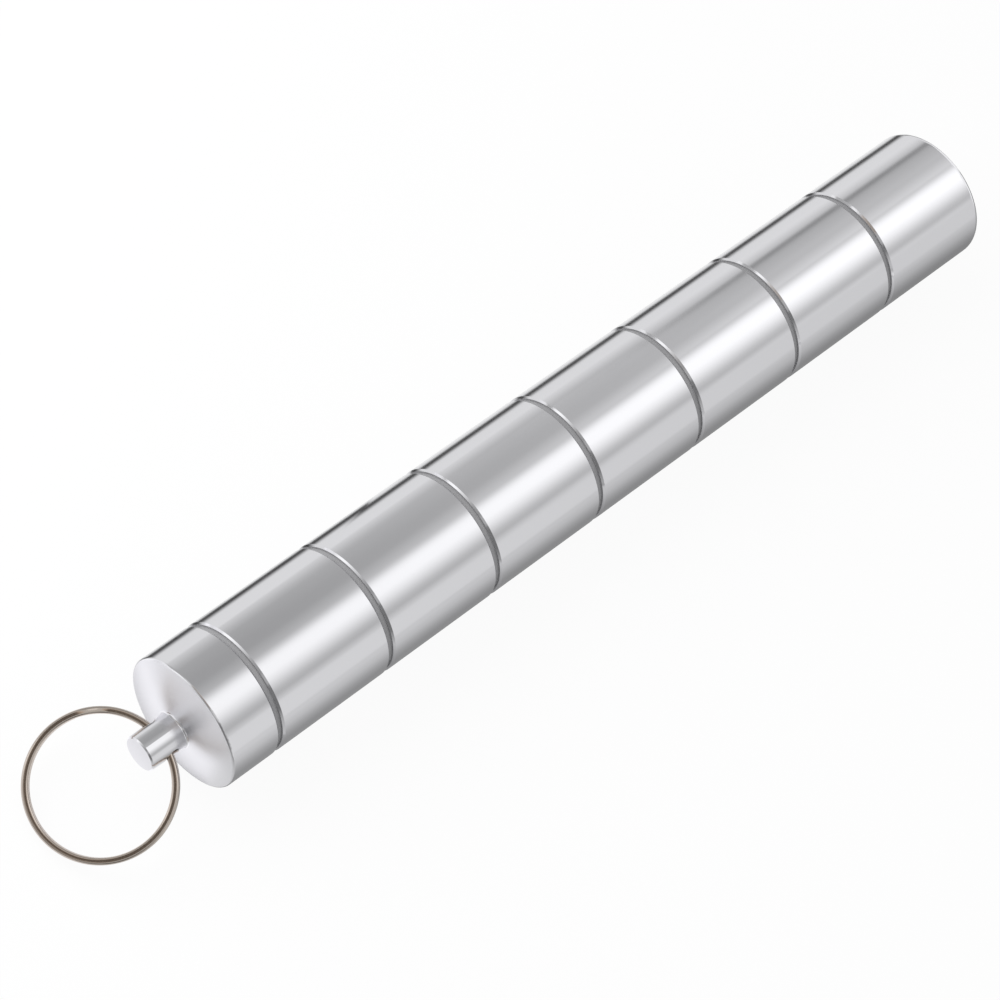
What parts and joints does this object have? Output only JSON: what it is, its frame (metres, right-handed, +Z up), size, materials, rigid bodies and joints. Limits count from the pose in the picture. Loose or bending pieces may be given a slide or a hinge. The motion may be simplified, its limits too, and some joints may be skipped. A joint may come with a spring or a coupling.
{
  "type": "screw-together pill box",
  "caption": "Slim metal pill box of screw-together cylindrical compartments, with a crowned cap and a split key ring through its post.",
  "frame": {"origin": "on the surface that the box lies on, below the middle of the whole length with the key ring", "axes": "+X along the box from the cap to the closed far end, +Z up, Y along the post's cross hole"},
  "size_m": [0.1678, 0.0206, 0.02],
  "materials": {
    "polished_aluminium": "turned and polished bare aluminium, bright with soft streaks",
    "nickel_plated_steel": "bright nickel plate on spring steel, slightly warm",
    "seal_rubber": "matt black nitrile rubber"
  },
  "bodies": {
    "compartment_7": {"compartment_7": "polished_aluminium"},
    "seal_ring_7": {"seal_ring_7": "seal_rubber"},
    "compartment_6": {"compartment_6": "polished_aluminium"},
    "seal_ring_6": {"seal_ring_6": "seal_rubber"},
    "compartment_5": {"compartment_5": "polished_aluminium"},
    "seal_ring_5": {"seal_ring_5": "seal_rubber"},
    "compartment_4": {"compartment_4": "polished_aluminium"},
    "seal_ring_4": {"seal_ring_4": "seal_rubber"},
    "compartment_3": {"compartment_3": "polished_aluminium"},
    "seal_ring_3": {"seal_ring_3": "seal_rubber"},
    "compartment_2": {"compartment_2": "polished_aluminium"},
    "seal_ring_2": {"seal_ring_2": "seal_rubber"},
    "compartment_1": {"compartment_1": "polished_aluminium"},
    "seal_ring_1": {"seal_ring_1": "seal_rubber"},
    "cap": {"cap": "polished_aluminium"},
    "key_ring": {"key_ring": "nickel_plated_steel"}
  },
  "joints": [
    {"name": "compartment_6_turn", "type": "hinge", "parent": "compartment_7", "child": "seal_ring_7", "pos_m": [0.06423, 0, 0.01], "axis": [-1, 0, 0], "range_deg": [0, 1260]},
    {"name": "compartment_6_lift", "type": "slide", "parent": "seal_ring_7", "child": "compartment_6", "axis": [-1, 0, 0], "range_m": [0, 0.0035]},
    {"name": "compartment_5_turn", "type": "hinge", "parent": "compartment_6", "child": "seal_ring_6", "pos_m": [0.04453, 0, 0.01], "axis": [-1, 0, 0], "range_deg": [0, 1260]},
    {"name": "compartment_5_lift", "type": "slide", "parent": "seal_ring_6", "child": "compartment_5", "axis": [-1, 0, 0], "range_m": [0, 0.0035]},
    {"name": "compartment_4_turn", "type": "hinge", "parent": "compartment_5", "child": "seal_ring_5", "pos_m": [0.02483, 0, 0.01], "axis": [-1, 0, 0], "range_deg": [0, 1260]},
    {"name": "compartment_4_lift", "type": "slide", "parent": "seal_ring_5", "child": "compartment_4", "axis": [-1, 0, 0], "range_m": [0, 0.0035]},
    {"name": "compartment_3_turn", "type": "hinge", "parent": "compartment_4", "child": "seal_ring_4", "pos_m": [0.00513, 0, 0.01], "axis": [-1, 0, 0], "range_deg": [0, 1260]},
    {"name": "compartment_3_lift", "type": "slide", "parent": "seal_ring_4", "child": "compartment_3", "axis": [-1, 0, 0], "range_m": [0, 0.0035]},
    {"name": "compartment_2_turn", "type": "hinge", "parent": "compartment_3", "child": "seal_ring_3", "pos_m": [-0.01457, 0, 0.01], "axis": [-1, 0, 0], "range_deg": [0, 1260]},
    {"name": "compartment_2_lift", "type": "slide", "parent": "seal_ring_3", "child": "compartment_2", "axis": [-1, 0, 0], "range_m": [0, 0.0035]},
    {"name": "compartment_1_turn", "type": "hinge", "parent": "compartment_2", "child": "seal_ring_2", "pos_m": [-0.03427, 0, 0.01], "axis": [-1, 0, 0], "range_deg": [0, 1260]},
    {"name": "compartment_1_lift", "type": "slide", "parent": "seal_ring_2", "child": "compartment_1", "axis": [-1, 0, 0], "range_m": [0, 0.0035]},
    {"name": "cap_turn", "type": "hinge", "parent": "compartment_1", "child": "seal_ring_1", "pos_m": [-0.05397, 0, 0.01], "axis": [-1, 0, 0], "range_deg": [0, 1260]},
    {"name": "cap_lift", "type": "slide", "parent": "seal_ring_1", "child": "cap", "axis": [-1, 0, 0], "range_m": [0, 0.0035]},
    {"name": "key_ring_swing", "type": "hinge", "parent": "cap", "child": "key_ring", "pos_m": [-0.06567, 0, 0.01], "axis": [0, 1, 0], "range_deg": [-89, 144]}
  ],
  "couplings": [
    {"joint": "compartment_6_lift", "follows": "compartment_6_turn", "m_per_rad": 0.00015915},
    {"joint": "compartment_5_lift", "follows": "compartment_5_turn", "m_per_rad": 0.00015915},
    {"joint": "compartment_4_lift", "follows": "compartment_4_turn", "m_per_rad": 0.00015915},
    {"joint": "compartment_3_lift", "follows": "compartment_3_turn", "m_per_rad": 0.00015915},
    {"joint": "compartment_2_lift", "follows": "compartment_2_turn", "m_per_rad": 0.00015915},
    {"joint": "compartment_1_lift", "follows": "compartment_1_turn", "m_per_rad": 0.00015915},
    {"joint": "cap_lift", "follows": "cap_turn", "m_per_rad": 0.00015915}
  ]
}
